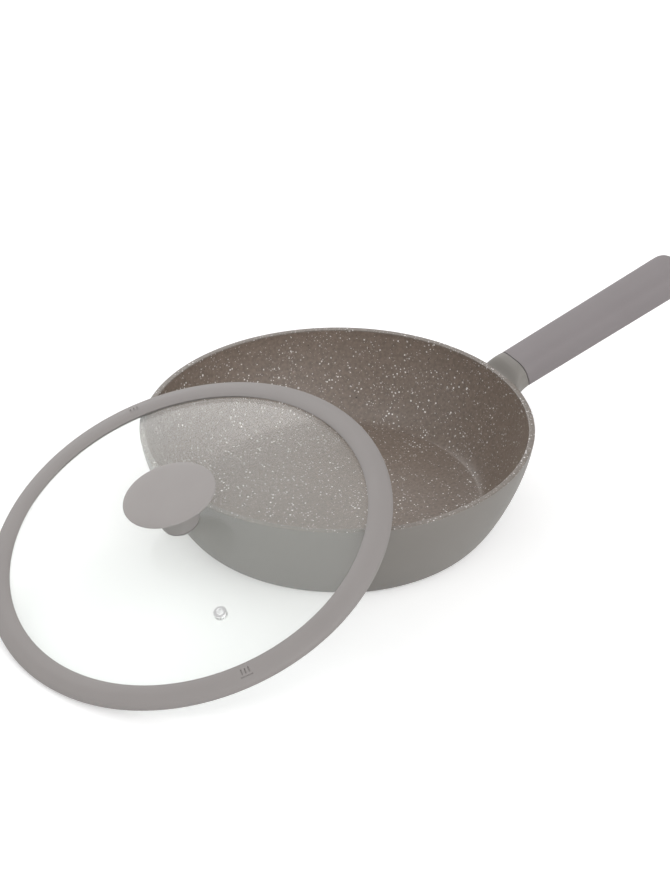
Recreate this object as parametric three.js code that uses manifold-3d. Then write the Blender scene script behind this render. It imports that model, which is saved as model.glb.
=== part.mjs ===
// Deep frying pan with a leaning glass lid. Millimetres, +Z up, origin at the centre of the pan's base,
// +X along the handle. The lid is drawn in its own frame first and then leaned against the pan.
import * as THREE from 'three';
import { mergeVertices } from 'three/addons/utils/BufferGeometryUtils.js';
import Module from 'manifold-3d';

const wasm = await Module();
wasm.setup();

// Driving dimensions: gaps
const seatGap = 0.3;
const slideGap = 0.3;

// Driving dimensions: pan
const panRimRadius = 140;
const panHeight = 69.2;
const panWallFlare = 29.6;
const panBaseRadius = panRimRadius - panWallFlare;
const wallThickness = 4.2;
const floorThickness = 5;
const rimChamfer = 0.8;
const outerLowPull = [6.5, 1.7];
const outerHighPull = [3, 27.4];
const innerFootInset = 7.4;
const innerLowPull = [8.5, 1.2];
const innerHighPull = [3.1, 26.5];
const plateInset = 16.4;
const plateRadius = panBaseRadius - plateInset;
const plateThickness = 1.2;
const plateGrooves = 3;
const plateGrooveDepth = 0.4;
const plateGrooveWidth = 4;

// Driving dimensions: handle
const handleRise = 17.1 * Math.PI / 180;
const seamOverhang = 12;
const seamLift = 0.1;
const handleHalfWidth = 16.7;
const handleHalfHeight = 10.9;
const handlePower = 3.1;
const handleGrowth = 0.07;
const seamGap = 0.6;
const gripLength = 154.5;
const gripEndRound = 13;
const tongueHalfWidth = 10;
const tongueHalfHeight = 4.5;
const tongueLength = 34;
const handleScrewAt = 20;
const handleScrewRadius = 2;
const handleHeadRadius = 4;
const handleHeadHeight = 2;
const handleWasherRadius = 4.3;
const handleWasherThickness = 0.8;

// Driving dimensions: lid
const glassInset = 8;
const glassRadius = panRimRadius - glassInset;
const glassThickness = 4;
const glassEdgeHeight = 0.9;
const domeRise = 15;
const domeHeight = glassEdgeHeight + domeRise;
const domeRadius = (glassRadius ** 2 + domeRise ** 2) / (2 * domeRise);
const ringOverhang = 1.2;
const ringWidest = panRimRadius + ringOverhang;
const ringFootInset = 1.1;
const ringFootRadius = panRimRadius - ringFootInset;
const ringLipCover = 6.9;
const ringLipRadius = glassRadius - ringLipCover;
const ringTopHeight = 8.9;
const ringSkirtDepth = 0.7;
const ringGlassHold = 3.4;
const ventFromEdge = 48.5;
const ventRadiusFromAxis = glassRadius - ventFromEdge;
const ventTurn = 62.3 * Math.PI / 180;
const ventTubeRadius = 3.2;
const ventBoreRadius = 2.3;
const ventFlangeRadius = 4.4;
const ventFlangeThickness = 0.7;
const lidScrewRadius = 2;
const lidHeadRadius = 4;
const lidHeadHeight = 2.4;
const lidWasherRadius = 8.5;
const lidWasherThickness = 1;
const gasketThickness = 1;
const insertRadius = 3.6;
const insertLength = 12;
const knobNeckRadius = 13.4;
const knobDiscRadius = 30.05;
const knobOval = 0.065;
const knobTurn = 140 * Math.PI / 180;
const knobHeight = 28;
const knobEdgeThickness = 1.8;

// Driving dimensions: how the lid leans
const leanTurn = -164.76 * Math.PI / 180;
const leanFootReach = 143.6;
const leanFootDistance = panRimRadius + leanFootReach;
const leanSideOffset = 11.2;

// Fineness of the round shapes
const roundSides = 60;
const plateSides = 48;
const knobSides = 40;
const smallSides = 20;
const sectionSides = 28;
const wallSteps = 9;
const glassRings = 5;

// Shape builders

function geometryOf(points, faces) {
  const geometry = new THREE.BufferGeometry();
  geometry.setAttribute('position', new THREE.Float32BufferAttribute(points.flat(), 3));
  geometry.setIndex(faces.flat());
  return geometry;
}

// Turns a closed outline of [radius, height] points, drawn anticlockwise, about the Z axis.
function turned(outline, sides) {
  const points = [];
  const rows = outline.map(([radius, height]) => {
    if (radius < 1e-6) {
      points.push([0, 0, height]);
      return Array(sides).fill(points.length - 1);
    }
    return Array.from({ length: sides }, (_, side) => {
      const angle = 2 * Math.PI * side / sides;
      points.push([radius * Math.cos(angle), radius * Math.sin(angle), height]);
      return points.length - 1;
    });
  });
  const faces = [];
  rows.forEach((row, index) => {
    const next = rows[(index + 1) % rows.length];
    for (let side = 0; side < sides; side += 1) {
      const after = (side + 1) % sides;
      const corners = [row[side], row[after], next[after], next[side]];
      for (const face of [[corners[0], corners[1], corners[2]], [corners[0], corners[2], corners[3]]]) {
        if (new Set(face).size === 3) {
          faces.push(face);
        }
      }
    }
  });
  return geometryOf(points, faces);
}

// Joins rings of equally many points, each running anticlockwise seen from the last ring's side.
function lofted(rings) {
  const count = rings[0].length;
  const points = rings.flat();
  const faces = [];
  for (let ring = 0; ring + 1 < rings.length; ring += 1) {
    for (let index = 0; index < count; index += 1) {
      const after = (index + 1) % count;
      const low = ring * count;
      const high = low + count;
      faces.push([low + index, low + after, high + after]);
      faces.push([low + index, high + after, high + index]);
    }
  }
  const middleOf = ring => [0, 1, 2].map(axis => ring.reduce((sum, point) => sum + point[axis], 0) / count);
  points.push(middleOf(rings[0]), middleOf(rings[rings.length - 1]));
  const last = (rings.length - 1) * count;
  for (let index = 0; index < count; index += 1) {
    const after = (index + 1) % count;
    faces.push([points.length - 2, after, index]);
    faces.push([points.length - 1, last + index, last + after]);
  }
  return geometryOf(points, faces);
}

function solidOf(geometry) {
  const plain = geometry.clone();
  plain.deleteAttribute('normal');
  plain.deleteAttribute('uv');
  const merged = mergeVertices(plain, 1e-4);
  return new wasm.Manifold(new wasm.Mesh({
    numProp: 3,
    vertProperties: new Float32Array(merged.attributes.position.array),
    triVerts: new Uint32Array(merged.index.array),
  }));
}

function geometryFrom(solid) {
  const mesh = solid.getMesh();
  const geometry = new THREE.BufferGeometry();
  geometry.setAttribute('position', new THREE.BufferAttribute(new Float32Array(mesh.vertProperties), 3));
  geometry.setIndex(new THREE.BufferAttribute(new Uint32Array(mesh.triVerts), 1));
  return geometry;
}

function joined(first, ...others) {
  return geometryFrom(others.reduce((solid, other) => solid.add(solidOf(other)), solidOf(first)));
}

function cutBy(first, ...others) {
  return geometryFrom(others.reduce((solid, other) => solid.subtract(solidOf(other)), solidOf(first)));
}

function bezier(start, pullStart, pullEnd, end, steps) {
  return Array.from({ length: steps + 1 }, (_, step) => {
    const t = step / steps;
    const s = 1 - t;
    const weights = [s * s * s, 3 * s * s * t, 3 * s * t * t, t * t * t];
    return [0, 1].map(axis => weights[0] * start[axis] + weights[1] * pullStart[axis]
      + weights[2] * pullEnd[axis] + weights[3] * end[axis]);
  });
}

function rod(radius, low, high, sides) {
  return turned([[0, low], [radius, low], [radius, high], [0, high]], sides);
}

function tube(bore, radius, low, high, sides) {
  return turned([[bore, low], [radius, low], [radius, high], [bore, high]], sides);
}

// A screw along Z: head below zero, plain shank above it, and a cross recess in the head.
function screw(shankRadius, shankLength, headRadius, headHeight, sides) {
  const edge = headHeight * 0.25;
  const blank = turned([
    [0, -headHeight],
    [headRadius - edge, -headHeight],
    [headRadius, -headHeight + edge],
    [headRadius, 0],
    [shankRadius, 0],
    [shankRadius, shankLength - edge],
    [shankRadius - edge, shankLength],
    [0, shankLength],
  ], sides);
  const depth = headHeight * 0.5;
  const armLength = headRadius * 1.1;
  const armWidth = headRadius * 0.24;
  const arm = new THREE.BoxGeometry(armLength, armWidth, depth * 2).translate(0, 0, -headHeight);
  const otherArm = new THREE.BoxGeometry(armWidth, armLength, depth * 2).translate(0, 0, -headHeight);
  return cutBy(blank, joined(arm, otherArm));
}

// Pan body
const handleAxis = new THREE.Vector3(Math.cos(handleRise), 0, Math.sin(handleRise));
const handleUp = new THREE.Vector3(-Math.sin(handleRise), 0, Math.cos(handleRise));
const handleSide = new THREE.Vector3(0, 1, 0);
const seamCentre = new THREE.Vector3(panRimRadius + seamOverhang, 0, panHeight + seamLift);
const handleFrame = new THREE.Matrix4().makeBasis(handleAxis, handleSide, handleUp).setPosition(seamCentre);

// One ring of a handle section at a distance along the handle, rounded like a superellipse.
// Its upper half may be wider than its lower half.
function handleRing(distance, halfWidth, top, bottom, power, count, topWider = 0) {
  const middle = (top - bottom) / 2;
  const halfHeight = (top + bottom) / 2;
  return Array.from({ length: count }, (_, index) => {
    const angle = 2 * Math.PI * (index + 0.5) / count;
    const across = Math.sign(Math.cos(angle)) * Math.abs(Math.cos(angle)) ** (2 / power);
    const up = Math.sign(Math.sin(angle)) * Math.abs(Math.sin(angle)) ** (2 / power);
    return [distance, (halfWidth + topWider * (1 + up) / 2) * across, middle + halfHeight * up];
  });
}

const outerWall = bezier(
  [panBaseRadius, 0],
  [panBaseRadius + outerLowPull[0], outerLowPull[1]],
  [panRimRadius - outerHighPull[0], panHeight - outerHighPull[1]],
  [panRimRadius, panHeight - rimChamfer],
  wallSteps,
);
const innerRimRadius = panRimRadius - wallThickness;
const innerFootRadius = panBaseRadius - innerFootInset;
const innerWall = bezier(
  [innerFootRadius, floorThickness],
  [innerFootRadius + innerLowPull[0], floorThickness + innerLowPull[1]],
  [innerRimRadius - innerHighPull[0], panHeight - innerHighPull[1]],
  [innerRimRadius, panHeight - rimChamfer],
  wallSteps,
);
const panBlank = turned([
  [0, 0],
  ...outerWall,
  [panRimRadius - rimChamfer, panHeight],
  [0, panHeight],
], roundSides);
const cavityTop = panHeight + handleHalfHeight * 2;
const cavity = turned([
  [0, floorThickness],
  ...innerWall,
  [innerRimRadius + rimChamfer, panHeight],
  [innerRimRadius + rimChamfer, cavityTop],
  [0, cavityTop],
], roundSides);
const recessRadius = plateRadius + seatGap;
const recessDepth = plateThickness + seatGap;
const plateRecess = rod(recessRadius, -1, recessDepth, plateSides);

// The boss: each step holds the distance from the seam, and then what the half width of the top edge,
// the top and the bottom add to the grip's section there.
const bossSteps = [
  [-27, 17, -15, 6],
  [-21, 15.5, -14, 4],
  [-16, 13.5, -12.6, 2.4],
  [-13, 11.5, -10.6, 1.5],
  [-11.5, 10, -8.3, 1.1],
  [-10, 8.3, -5.8, 0.8],
  [-8, 6, -3.2, 0.5],
  [-5.5, 3.2, -1.3, 0.2],
  [-2.5, 0.9, -0.3, 0],
  [0, 0, 0, 0],
];
const boss = lofted(bossSteps.map(([distance, wider, raise, deeper]) => handleRing(
  distance,
  handleHalfWidth,
  handleHalfHeight + raise,
  handleHalfHeight + deeper,
  handlePower,
  sectionSides,
  wider,
))).applyMatrix4(handleFrame);
const tongue = lofted([-2, tongueLength - 1, tongueLength].map((distance, index) => handleRing(
  distance,
  tongueHalfWidth - (index === 2 ? 1 : 0),
  tongueHalfHeight - (index === 2 ? 1 : 0),
  tongueHalfHeight - (index === 2 ? 1 : 0),
  6,
  24,
))).applyMatrix4(handleFrame);
const tongueHole = rod(handleScrewRadius + slideGap, -tongueHalfHeight * 2, tongueHalfHeight * 2, smallSides)
  .translate(handleScrewAt, 0, 0)
  .applyMatrix4(handleFrame);
const panShape = cutBy(joined(panBlank, boss, tongue), cavity, plateRecess, tongueHole);

// Induction plate: a steel disc with shallow rings turned into its underside
const grooveStep = plateRadius / (plateGrooves + 1);
const grooveOutline = Array.from({ length: plateGrooves }, (_, index) => {
  const middle = grooveStep * (index + 1);
  const half = plateGrooveWidth / 2;
  return [
    [middle - half, 0],
    [middle - half + plateGrooveDepth, plateGrooveDepth],
    [middle + half - plateGrooveDepth, plateGrooveDepth],
    [middle + half, 0],
  ];
}).flat();
const plateShape = turned([
  [0, 0],
  ...grooveOutline,
  [plateRadius, 0],
  [plateRadius, plateThickness],
  [0, plateThickness],
], plateSides);

// Handle grip
const gripStations = [0, 0.8, gripLength * 0.3, gripLength * 0.6, gripLength - gripEndRound];
const gripSections = gripStations.map((distance, index) => {
  const grow = 1 + handleGrowth * distance / gripLength;
  return [seamGap + distance, grow - (index === 0 ? 0.03 : 0)];
});
const endGrow = 1 + handleGrowth * (gripLength - gripEndRound) / gripLength;
for (const part of [0.35, 0.62, 0.82, 0.95, 1]) {
  const shrink = Math.max((1 - part ** 2.8) ** (1 / 2.8), 0.25);
  gripSections.push([seamGap + gripLength - gripEndRound * (1 - part), endGrow * shrink]);
}
const gripBlank = lofted(gripSections.map(([distance, grow]) => handleRing(
  distance,
  handleHalfWidth * grow,
  handleHalfHeight * grow,
  handleHalfHeight * grow,
  handlePower,
  sectionSides,
)));
const socket = lofted([-1, tongueLength + slideGap].map(distance => handleRing(
  distance,
  tongueHalfWidth + slideGap,
  tongueHalfHeight + slideGap,
  tongueHalfHeight + slideGap,
  6,
  24,
)));
const headPocketDepth = handleHeadHeight + handleWasherThickness + 2 * seatGap;
const headSeat = -handleHalfHeight + headPocketDepth;
const gripScrewHole = rod(handleScrewRadius + slideGap, -handleHalfHeight * 2, 0, smallSides)
  .translate(handleScrewAt, 0, 0);
const gripHeadPocket = rod(handleWasherRadius + slideGap, -handleHalfHeight * 2, headSeat, smallSides)
  .translate(handleScrewAt, 0, 0);
const gripShape = cutBy(gripBlank, socket, gripScrewHole, gripHeadPocket).applyMatrix4(handleFrame);

const washerTop = headSeat - seatGap;
const handleWasherShape = tube(
  handleScrewRadius + slideGap,
  handleWasherRadius,
  washerTop - handleWasherThickness,
  washerTop,
  smallSides,
).translate(handleScrewAt, 0, 0).applyMatrix4(handleFrame);
const headTop = washerTop - handleWasherThickness - seatGap;
const handleScrewShape = screw(
  handleScrewRadius,
  tongueHalfHeight - seatGap - headTop,
  handleHeadRadius,
  handleHeadHeight,
  smallSides,
).translate(handleScrewAt, 0, headTop).applyMatrix4(handleFrame);

// Lid glass: two spheres about one centre, drawn in the lid's own frame with its ring's foot at height 0
function glassUnder(radius) {
  return domeHeight - domeRadius + Math.sqrt(domeRadius ** 2 - radius ** 2);
}

function glassOver(radius) {
  return domeHeight - domeRadius + Math.sqrt((domeRadius + glassThickness) ** 2 - radius ** 2);
}

const glassStations = Array.from({ length: glassRings + 1 }, (_, index) => glassRadius * index / glassRings);
const glassEdge = 0.6;
const glassFlatRadius = glassRadius - glassEdge;
const glassBlank = turned([
  ...glassStations.map(radius => [Math.min(radius, glassFlatRadius), glassUnder(radius)]),
  [glassRadius, glassUnder(glassRadius) + glassEdge],
  [glassRadius, glassOver(glassRadius) - glassEdge],
  ...[...glassStations].reverse().map(radius => [Math.min(radius, glassFlatRadius), glassOver(radius)]),
], roundSides);
const knobHole = rod(lidScrewRadius + 2 * slideGap, 0, domeHeight * 3, smallSides);
const ventTilt = Math.asin(ventRadiusFromAxis / (domeRadius + glassThickness));
const ventFrame = new THREE.Matrix4()
  .makeRotationZ(ventTurn)
  .multiply(new THREE.Matrix4().makeTranslation(0, 0, domeHeight - domeRadius))
  .multiply(new THREE.Matrix4().makeRotationY(ventTilt))
  .multiply(new THREE.Matrix4().makeTranslation(0, 0, domeRadius));
const ventHole = rod(ventTubeRadius + slideGap, -glassThickness, glassThickness * 2, smallSides)
  .applyMatrix4(ventFrame);
const glassShape = cutBy(glassBlank, knobHole, ventHole);

// Vent eyelet: a tube with a flange on each face of the glass
const ventLow = -seatGap - ventFlangeThickness;
const ventHigh = glassThickness + seatGap + ventFlangeThickness;
const ventEdge = ventFlangeThickness * 0.4;
const ventShape = turned([
  [ventBoreRadius, ventLow + ventEdge],
  [ventBoreRadius + ventEdge, ventLow],
  [ventFlangeRadius - ventEdge, ventLow],
  [ventFlangeRadius, -seatGap],
  [ventTubeRadius, -seatGap],
  [ventTubeRadius, glassThickness + seatGap],
  [ventFlangeRadius, glassThickness + seatGap],
  [ventFlangeRadius, ventHigh - ventEdge],
  [ventFlangeRadius - ventEdge, ventHigh],
  [ventBoreRadius + ventEdge, ventHigh],
  [ventBoreRadius, ventHigh - ventEdge],
], smallSides).applyMatrix4(ventFrame);

// Lid ring: a groove takes the edge of the glass, a flat foot takes the pan's rim, and a skirt centres it
const grooveRadius = glassRadius + slideGap;
const lipUnder = glassOver(ringLipRadius) + seatGap;
const innerLipRadius = grooveRadius - ringGlassHold;
const skirtRadius = innerRimRadius - 3 * slideGap;
const ringSpan = ringWidest - ringLipRadius;
const ringUnderside = [
  [innerLipRadius, -ringSkirtDepth * 0.6],
  [innerLipRadius + 0.8, -ringSkirtDepth],
  [skirtRadius - 1.6, -ringSkirtDepth],
  [skirtRadius, 0],
  [ringFootRadius, 0],
  [ringWidest - 0.7, ringTopHeight * 0.15],
  [ringWidest, ringTopHeight * 0.38],
];
const ringOutline = [
  ...ringUnderside,
  [ringWidest - 0.5, ringTopHeight * 0.56],
  [ringWidest - 2, ringTopHeight * 0.72],
  [ringWidest - ringSpan * 0.36, ringTopHeight * 0.89],
  [ringWidest - ringSpan * 0.58, ringTopHeight * 0.975],
  [ringWidest - ringSpan * 0.74, ringTopHeight],
  [ringLipRadius + ringSpan * 0.1, ringTopHeight - 0.3],
  [ringLipRadius + ringSpan * 0.03, ringTopHeight - 0.85],
  [ringLipRadius, lipUnder + 0.5],
  [ringLipRadius, lipUnder],
  [(ringLipRadius + grooveRadius) / 2, glassOver((ringLipRadius + grooveRadius) / 2) + seatGap],
  [grooveRadius, glassOver(grooveRadius) + seatGap],
  [grooveRadius, glassUnder(grooveRadius) - seatGap],
  [innerLipRadius, glassUnder(innerLipRadius) - seatGap],
];
const ringShape = turned(ringOutline, roundSides);

function ringUnder(radius) {
  const after = ringUnderside.findIndex(point => point[0] >= radius);
  if (after < 1) {
    return Infinity;
  }
  const [lowRadius, lowHeight] = ringUnderside[after - 1];
  const [highRadius, highHeight] = ringUnderside[after];
  return lowHeight + (highHeight - lowHeight) * (radius - lowRadius) / (highRadius - lowRadius);
}

// Knob, its bush, its gaskets, and the screw and washer under the glass
const gasketRadius = knobNeckRadius - 0.6;
const gasketBore = lidScrewRadius + 2 * slideGap;
const gasketTopLow = radius => glassOver(radius) + seatGap;
const gasketTopHigh = glassOver(0) + seatGap + gasketThickness;
const gasketTopShape = turned([
  [gasketBore, gasketTopLow(gasketBore)],
  [gasketRadius, gasketTopLow(gasketRadius)],
  [gasketRadius, gasketTopHigh],
  [gasketBore, gasketTopHigh],
], smallSides);
const gasketBottomLow = glassUnder(lidWasherRadius) - seatGap - gasketThickness;
const gasketBottomShape = turned([
  [gasketBore, gasketBottomLow],
  [lidWasherRadius, gasketBottomLow],
  [lidWasherRadius, glassUnder(lidWasherRadius) - seatGap],
  [gasketBore, glassUnder(gasketBore) - seatGap],
], smallSides);
const lidWasherHigh = gasketBottomLow - seatGap;
const lidWasherShape = tube(
  lidScrewRadius + slideGap,
  lidWasherRadius,
  lidWasherHigh - lidWasherThickness,
  lidWasherHigh,
  smallSides,
);
const knobLow = gasketTopHigh + seatGap;
const knobTop = knobLow + knobHeight;
const boreRadius = insertRadius + slideGap;
const boreTop = knobLow + insertLength + 2 * seatGap;
const flare = knobDiscRadius - knobNeckRadius;
const discLow = knobTop - 1.2 - knobEdgeThickness;
const neckHeight = discLow - knobLow;
// Draws a turned shape out along one direction and in across it, the more the further it is from its axis.
function ovalled(geometry, roundRadius, fullRadius, amount, turn) {
  const points = geometry.attributes.position;
  for (let index = 0; index < points.count; index += 1) {
    const x = points.getX(index);
    const y = points.getY(index);
    const reach = (Math.hypot(x, y) - roundRadius) / (fullRadius - roundRadius);
    const share = amount * Math.min(1, Math.max(0, reach));
    const along = (x * Math.cos(turn) + y * Math.sin(turn)) * (1 + share);
    const across = (y * Math.cos(turn) - x * Math.sin(turn)) * (1 - share);
    points.setX(index, along * Math.cos(turn) - across * Math.sin(turn));
    points.setY(index, along * Math.sin(turn) + across * Math.cos(turn));
  }
  return geometry;
}

const knobShape = ovalled(turned([
  [boreRadius, knobLow],
  [knobNeckRadius - 0.6, knobLow],
  [knobNeckRadius, knobLow + 0.6],
  [knobNeckRadius + flare * 0.02, knobLow + neckHeight * 0.28],
  [knobNeckRadius + flare * 0.12, knobLow + neckHeight * 0.52],
  [knobNeckRadius + flare * 0.34, knobLow + neckHeight * 0.74],
  [knobNeckRadius + flare * 0.68, knobLow + neckHeight * 0.91],
  [knobDiscRadius - 0.7, discLow],
  [knobDiscRadius, discLow + 0.7],
  [knobDiscRadius, discLow + knobEdgeThickness - 0.9],
  [knobDiscRadius - 0.9, discLow + knobEdgeThickness],
  [knobDiscRadius * 0.7, knobTop - 0.45],
  [0, knobTop],
  [0, boreTop],
  [boreRadius, boreTop],
], knobSides), knobNeckRadius, knobDiscRadius, knobOval, knobTurn);
const insertLow = knobLow + seatGap;
const insertBore = lidScrewRadius + slideGap;
const insertShape = turned([
  [insertBore, insertLow],
  [insertRadius, insertLow],
  [insertRadius, insertLow + insertLength],
  [insertBore, insertLow + insertLength],
], smallSides);
const lidHeadTop = lidWasherHigh - lidWasherThickness - seatGap;
const lidScrewShape = screw(
  lidScrewRadius,
  insertLow + insertLength * 0.9 - lidHeadTop,
  lidHeadRadius,
  lidHeadHeight,
  smallSides,
).translate(0, 0, lidHeadTop);

// Leaning the lid: its ring's foot stands on the table and its glass comes down on the pan's rim
function leanFrame(tilt) {
  const outward = new THREE.Vector3(Math.cos(leanTurn), Math.sin(leanTurn), 0);
  const sideways = new THREE.Vector3(-Math.sin(leanTurn), Math.cos(leanTurn), 0);
  const downhill = outward.clone().multiplyScalar(Math.cos(tilt)).setZ(-Math.sin(tilt));
  const normal = outward.clone().multiplyScalar(Math.sin(tilt)).setZ(Math.cos(tilt));
  const depths = ringOutline.map(([radius, height]) => height * Math.cos(tilt) - radius * Math.sin(tilt));
  const centre = outward.clone()
    .multiplyScalar(leanFootDistance - ringFootRadius * Math.cos(tilt))
    .addScaledVector(sideways, leanSideOffset)
    .setZ(-Math.min(...depths));
  return new THREE.Matrix4().makeBasis(downhill, sideways, normal).setPosition(centre);
}

// The lowest fixing under the glass at a point of the lid's frame, where there is one
function fixingsUnder(point) {
  const fromAxis = Math.hypot(point.x, point.y);
  if (fromAxis < lidHeadRadius + seatGap) {
    return lidHeadTop - lidHeadHeight;
  }
  if (fromAxis < lidWasherRadius + seatGap) {
    return lidWasherHigh - lidWasherThickness;
  }
  const fromVent = Math.hypot(
    point.x - ventRadiusFromAxis * Math.cos(ventTurn),
    point.y - ventRadiusFromAxis * Math.sin(ventTurn),
  );
  return fromVent < ventFlangeRadius + seatGap ? glassUnder(fromAxis) + ventLow : Infinity;
}

function leanClearance(tilt) {
  const toLid = leanFrame(tilt).invert();
  let least = Infinity;
  const rimEdges = [[panRimRadius, panHeight - rimChamfer], [panRimRadius - rimChamfer, panHeight]];
  for (const [radius, height] of rimEdges) {
    for (let step = 0; step < 720; step += 1) {
      const turn = Math.PI * step / 360;
      const point = new THREE.Vector3(radius * Math.cos(turn), radius * Math.sin(turn), height);
      point.applyMatrix4(toLid);
      const fromAxis = Math.hypot(point.x, point.y);
      if (fromAxis < glassRadius) {
        least = Math.min(least, glassUnder(fromAxis) - point.z);
      }
      least = Math.min(least, ringUnder(fromAxis) - point.z, fixingsUnder(point) - point.z);
    }
  }
  return least;
}

const facetAllowance = (glassRadius / glassRings) ** 2 / (8 * domeRadius) + 0.02;
let flatter = 0.1;
let steeper = 0.7;
for (let step = 0; step < 40; step += 1) {
  const middle = (flatter + steeper) / 2;
  if (leanClearance(middle) < seatGap + facetAllowance) {
    flatter = middle;
  } else {
    steeper = middle;
  }
}
const lidFrame = leanFrame(steeper);

// The named pieces
const group = new THREE.Group();
group.name = 'deep_frying_pan_with_lid';

function place(name, geometry, colour, roughness, metalness, frame) {
  const material = new THREE.MeshStandardMaterial({ color: colour, roughness, metalness });
  const shown = frame ? geometry.applyMatrix4(frame) : geometry;
  shown.computeVertexNormals();
  const mesh = new THREE.Mesh(shown, material);
  mesh.name = name;
  group.add(mesh);
}

const taupe = 0x8a8480;
const silicone = 0x9a9591;
const steel = 0xb9bbbd;
const brass = 0xc9a552;
place('pan_body', panShape, taupe, 0.6, 0.1);
place('induction_plate', plateShape, steel, 0.35, 0.9);
place('handle_grip', gripShape, 0x918b8a, 0.75, 0);
place('handle_washer', handleWasherShape, steel, 0.3, 0.9);
place('handle_screw', handleScrewShape, steel, 0.3, 0.9);
place('lid_glass', glassShape, 0xd9e2de, 0.05, 0, lidFrame);
place('lid_rim', ringShape, silicone, 0.7, 0, lidFrame);
place('vent_eyelet', ventShape, steel, 0.25, 0.9, lidFrame);
place('knob_body', knobShape, silicone, 0.7, 0, lidFrame);
place('knob_insert', insertShape, brass, 0.35, 0.9, lidFrame);
place('knob_gasket_top', gasketTopShape, 0x77726f, 0.8, 0, lidFrame);
place('knob_gasket_bottom', gasketBottomShape, 0x77726f, 0.8, 0, lidFrame);
place('knob_washer', lidWasherShape, steel, 0.3, 0.9, lidFrame);
place('knob_screw', lidScrewShape, steel, 0.3, 0.9, lidFrame);

export default group;
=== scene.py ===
import math

import bpy
import numpy as np
from mathutils import Matrix, Vector


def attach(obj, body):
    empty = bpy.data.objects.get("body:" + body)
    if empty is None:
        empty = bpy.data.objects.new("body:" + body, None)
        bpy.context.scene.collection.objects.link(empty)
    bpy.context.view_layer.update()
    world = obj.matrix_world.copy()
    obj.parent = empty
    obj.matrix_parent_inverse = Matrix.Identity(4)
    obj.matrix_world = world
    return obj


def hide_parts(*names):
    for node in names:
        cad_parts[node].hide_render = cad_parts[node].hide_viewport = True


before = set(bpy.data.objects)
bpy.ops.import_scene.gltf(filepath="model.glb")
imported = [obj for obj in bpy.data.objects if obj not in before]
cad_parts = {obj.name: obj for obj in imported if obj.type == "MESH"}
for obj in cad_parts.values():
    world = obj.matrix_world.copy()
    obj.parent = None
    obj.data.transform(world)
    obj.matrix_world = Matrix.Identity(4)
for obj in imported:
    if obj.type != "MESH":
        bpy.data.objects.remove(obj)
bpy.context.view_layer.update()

# Pan body: one aluminium casting, a bowl with a boss that carries the handle, turned at its rim and base.
# Matt taupe paint is sprayed on the outside. A speckled stone-effect non-stick coat covers the inside,
# and runs over the rim, where it is given a paler, greyer ground with more flecks.
rim_radius = 140.0
pan_height = 69.2
base_radius = 110.4
base_flat_inset = 4.0
wall_thickness = 4.2
floor_thickness = 5.0
rim_edge = 0.9
inner_rim_radius = rim_radius - wall_thickness
inner_foot_inset = 7.4
inner_foot_radius = base_radius - inner_foot_inset
plate_radius = 94.0
plate_thickness = 1.2
seat_gap = 0.3
bowl_sides = 224
wall_steps = 44
sharp_angle = math.radians(38.0)
millimetre = 0.001


def cubic(start, pull_start, pull_end, end, steps):
    """Points along one cubic curve between two [radius, height] points."""
    shares = np.linspace(0.0, 1.0, steps + 1)[:, None]
    rest = 1.0 - shares
    corners = [np.array(corner, float) for corner in (start, pull_start, pull_end, end)]
    line = rest**3 * corners[0] + 3 * rest**2 * shares * corners[1]
    line = line + 3 * rest * shares**2 * corners[2] + shares**3 * corners[3]
    return [tuple(point) for point in line]


def rounded(corners, steps=5):
    """An outline through [radius, height, rounding] corners, each rounded off by that much."""
    outline = []
    largest_share = 0.49
    for index, (radius, height, rounding) in enumerate(corners):
        corner = np.array((radius, height), float)
        if rounding == 0:
            outline.append(tuple(corner))
            continue
        before = np.array(corners[index - 1][:2], float) - corner
        after = np.array(corners[(index + 1) % len(corners)][:2], float) - corner
        start = corner + before * min(largest_share, rounding / np.linalg.norm(before))
        end = corner + after * min(largest_share, rounding / np.linalg.norm(after))
        for share in np.linspace(0.0, 1.0, steps + 1):
            point = (1 - share) ** 2 * start + 2 * share * (1 - share) * corner + share**2 * end
            outline.append(tuple(point))
    return outline


def finished_mesh(name, points, faces, finish_indices=None):
    """A shaded piece from points in millimetres and faces that look outwards."""
    mesh = bpy.data.meshes.new(name)
    mesh.from_pydata([tuple(value * millimetre for value in point) for point in points], [], faces)
    if finish_indices is not None:
        mesh.polygons.foreach_set("material_index", finish_indices)
    mesh.validate()
    mesh.shade_smooth()
    mesh.set_sharp_from_angle(angle=sharp_angle)
    piece = bpy.data.objects.new(name, mesh)
    bpy.context.scene.collection.objects.link(piece)
    return piece


def turned(name, outline, sides, finish_of=None):
    """A piece turned about Z from a closed [radius, height] outline that runs anticlockwise."""
    points = []
    rows = []
    for radius, height in outline:
        if radius < 1e-6:
            rows.append([len(points)] * sides)
            points.append((0.0, 0.0, height))
            continue
        rows.append(list(range(len(points), len(points) + sides)))
        for side in range(sides):
            turn = math.tau * side / sides
            points.append((radius * math.cos(turn), radius * math.sin(turn), height))
    faces = []
    finish_indices = []
    for index, row in enumerate(rows):
        following = rows[(index + 1) % len(rows)]
        for side in range(sides):
            after = (side + 1) % sides
            corners = list(dict.fromkeys([row[side], row[after], following[after], following[side]]))
            if len(corners) > 2:
                faces.append(corners)
                finish_indices.append(finish_of(index) if finish_of else 0)
    return finished_mesh(name, points, faces, finish_indices)


def lofted(name, rings):
    """A closed piece through rings of equally many points, with a cap on its first and last ring."""
    count = len(rings[0])
    points = [tuple(point) for ring in rings for point in ring]
    faces = []
    for low in range(0, (len(rings) - 1) * count, count):
        for index in range(count):
            after = (index + 1) % count
            faces.append([low + index, low + after, low + count + after, low + count + index])
    faces.append(list(range(count))[::-1])
    last = (len(rings) - 1) * count
    faces.append(list(range(last, last + count)))
    return finished_mesh(name, points, faces)


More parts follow.
